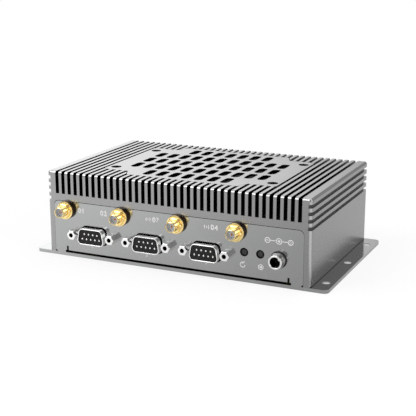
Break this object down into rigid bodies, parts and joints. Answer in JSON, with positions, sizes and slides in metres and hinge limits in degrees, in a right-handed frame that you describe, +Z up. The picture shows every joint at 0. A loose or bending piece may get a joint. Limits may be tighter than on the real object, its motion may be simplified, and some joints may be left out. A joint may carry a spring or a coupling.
{
  "type": "edge ai computer",
  "caption": "Finned aluminium box computer on a flanged base, with a slotted fan grille on top, threaded antenna jacks, serial ports, push buttons and a power inlet in front.",
  "frame": {"origin": "centre of the base plate's underside, midway between the flange holes", "axes": "+X to the right along the front panel, +Y to the back, +Z up out of the fins"},
  "size_m": [0.18, 0.109, 0.05],
  "materials": {
    "black_plastic": "matte",
    "black_rubber": "satin",
    "brass": "satin",
    "button_plastic": "matte",
    "circuit_board": "satin",
    "contact_metal": "polished",
    "cover_aluminium": "satin",
    "dark_screw_steel": "satin",
    "fan_plastic": "matte",
    "gold_plating": "polished",
    "grey_insulator": "matte",
    "grille_aluminium": "satin",
    "lead_jacket": "matte",
    "nickel_steel": "polished",
    "pad_rubber": "matte",
    "tray_metal": "satin"
  },
  "bodies": {
    "enclosure": {"antenna_contacts": "gold_plating", "antenna_hex_nuts": "gold_plating", "antenna_insulators": "grey_insulator", "antenna_jack_1": "gold_plating", "antenna_jack_2": "gold_plating", "antenna_jack_3": "gold_plating", "antenna_jack_4": "gold_plating", "antenna_lead_1": "lead_jacket", "antenna_lead_2": "lead_jacket", "antenna_lead_3": "lead_jacket", "antenna_lead_4": "lead_jacket", "antenna_lead_plugs": "gold_plating", "antenna_seal_rings": "black_rubber", "antenna_washers": "gold_plating", "base_screws": "dark_screw_steel", "base_tray": "tray_metal", "board_screws": "dark_screw_steel", "board_standoffs": "brass", "card_sockets": "black_plastic", "carrier_board": "circuit_board", "cellular_card": "circuit_board", "compute_module": "circuit_board", "dc_jack_barrel": "nickel_steel", "dc_jack_body": "black_plastic", "dc_jack_pin": "contact_metal", "dc_jack_seal": "black_plastic", "fan_frame": "fan_plastic", "fan_grille_plate": "grille_aluminium", "fan_screws": "dark_screw_steel", "grille_screws": "dark_screw_steel", "hdmi_port": "nickel_steel", "heatsink_cover": "cover_aluminium", "lan_port_1": "nickel_steel", "lan_port_2": "nickel_steel", "module_socket": "black_plastic", "processor_lid": "nickel_steel", "recovery_switch": "black_plastic", "reset_switch": "black_plastic", "serial_port_1_contacts": "contact_metal", "serial_port_1_insulator": "black_plastic", "serial_port_1_jackscrews": "nickel_steel", "serial_port_1_shell": "nickel_steel", "serial_port_2_contacts": "contact_metal", "serial_port_2_insulator": "black_plastic", "serial_port_2_jackscrews": "nickel_steel", "serial_port_2_shell": "nickel_steel", "serial_port_3_contacts": "contact_metal", "serial_port_3_insulator": "black_plastic", "serial_port_3_jackscrews": "nickel_steel", "serial_port_3_shell": "nickel_steel", "ssd_card": "circuit_board", "thermal_pad": "pad_rubber", "usb_port_1": "nickel_steel", "usb_port_2": "nickel_steel", "wifi_card": "circuit_board"},
    "fan_rotor": {"fan_rotor": "fan_plastic"},
    "reset_button": {"reset_button": "button_plastic"},
    "recovery_button": {"recovery_button": "button_plastic"}
  },
  "joints": [
    {"name": "fan_spin", "type": "hinge", "parent": "enclosure", "child": "fan_rotor", "pos_m": [0, 0, 0.0443], "axis": [0, 0, 1], "continuous": true},
    {"name": "reset_press", "type": "slide", "parent": "enclosure", "child": "reset_button", "axis": [0, 1, 0], "range_m": [0, 0.0003], "stiffness_N_per_m": 1500, "springref_m": -0.0002},
    {"name": "recovery_press", "type": "slide", "parent": "enclosure", "child": "recovery_button", "axis": [0, 1, 0], "range_m": [0, 0.0003], "stiffness_N_per_m": 1500, "springref_m": -0.0002}
  ]
}
